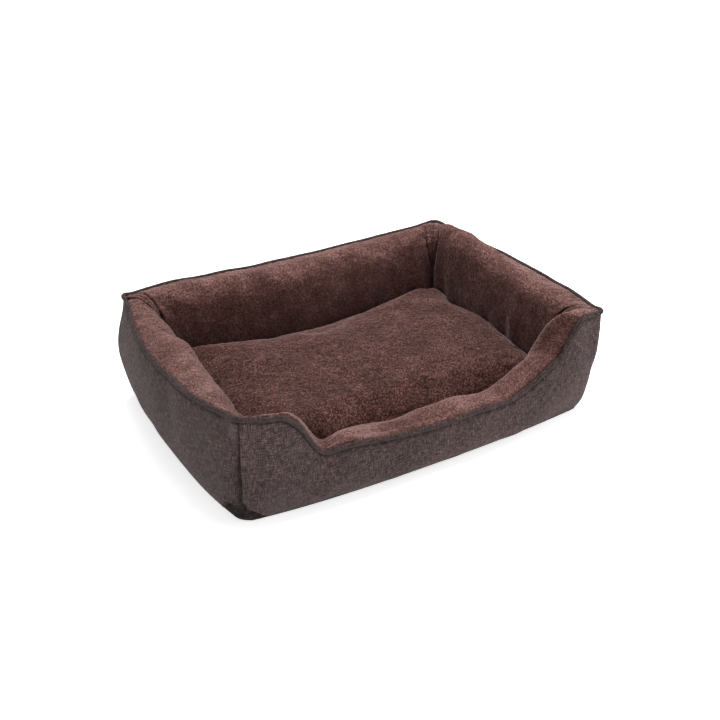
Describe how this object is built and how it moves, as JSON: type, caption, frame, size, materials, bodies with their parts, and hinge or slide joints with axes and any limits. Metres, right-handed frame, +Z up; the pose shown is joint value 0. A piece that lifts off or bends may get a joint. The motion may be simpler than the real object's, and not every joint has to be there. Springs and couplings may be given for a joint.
{
  "type": "pet cushion bed",
  "caption": "Rectangular bolster pet bed with a piped rim, a low front entry, a plush-lined nest and a loose zip-covered cushion that lifts out.",
  "frame": {"origin": "on the floor, under the middle of the bed", "axes": "+X along the long sides, +Y towards the high back wall, +Z up; the low entry faces -Y"},
  "size_m": [0.7306, 0.5278, 0.1971],
  "materials": {
    "woven_cloth": "slubbed linen-look weave, matt",
    "plush": "short dense plush pile with a soft sheen",
    "base_cloth": "black non-slip cloth with small raised dots",
    "fibre_fill": "white polyester fibre",
    "piping_cord": "twisted cotton cord",
    "zip_tape": "woven tape",
    "zip_coil": "satin nylon coil",
    "zip_metal": "satin enamel"
  },
  "bodies": {
    "bed": {"outer_front_panel": "woven_cloth", "outer_right_panel": "woven_cloth", "outer_back_panel": "woven_cloth", "outer_left_panel": "woven_cloth", "lining_front_panel": "plush", "lining_right_panel": "plush", "lining_back_panel": "plush", "lining_left_panel": "plush", "bolster_fill_front": "fibre_fill", "bolster_fill_right": "fibre_fill", "bolster_fill_back": "fibre_fill", "bolster_fill_left": "fibre_fill", "rim_piping_cover": "woven_cloth", "rim_piping_cord": "piping_cord", "base_panel": "base_cloth", "base_wadding": "fibre_fill", "floor_lining": "plush"},
    "cushion": {"cushion_top_panel": "plush", "cushion_bottom_panel": "woven_cloth", "cushion_fill": "fibre_fill", "zip_tape_front": "zip_tape", "zip_tape_rear": "zip_tape", "zip_chain": "zip_coil", "zip_top_stop": "zip_metal", "zip_bottom_stop": "zip_metal"},
    "zip_slider": {"zip_slider": "zip_metal", "zip_pull": "zip_metal"}
  },
  "joints": [
    {"name": "cushion_lift", "type": "slide", "parent": "bed", "child": "cushion", "axis": [0, 0, 1], "range_m": [0, 0.26]},
    {"name": "zip_travel", "type": "slide", "parent": "cushion", "child": "zip_slider", "axis": [-1, 0, 0], "range_m": [0, 0.325]}
  ]
}
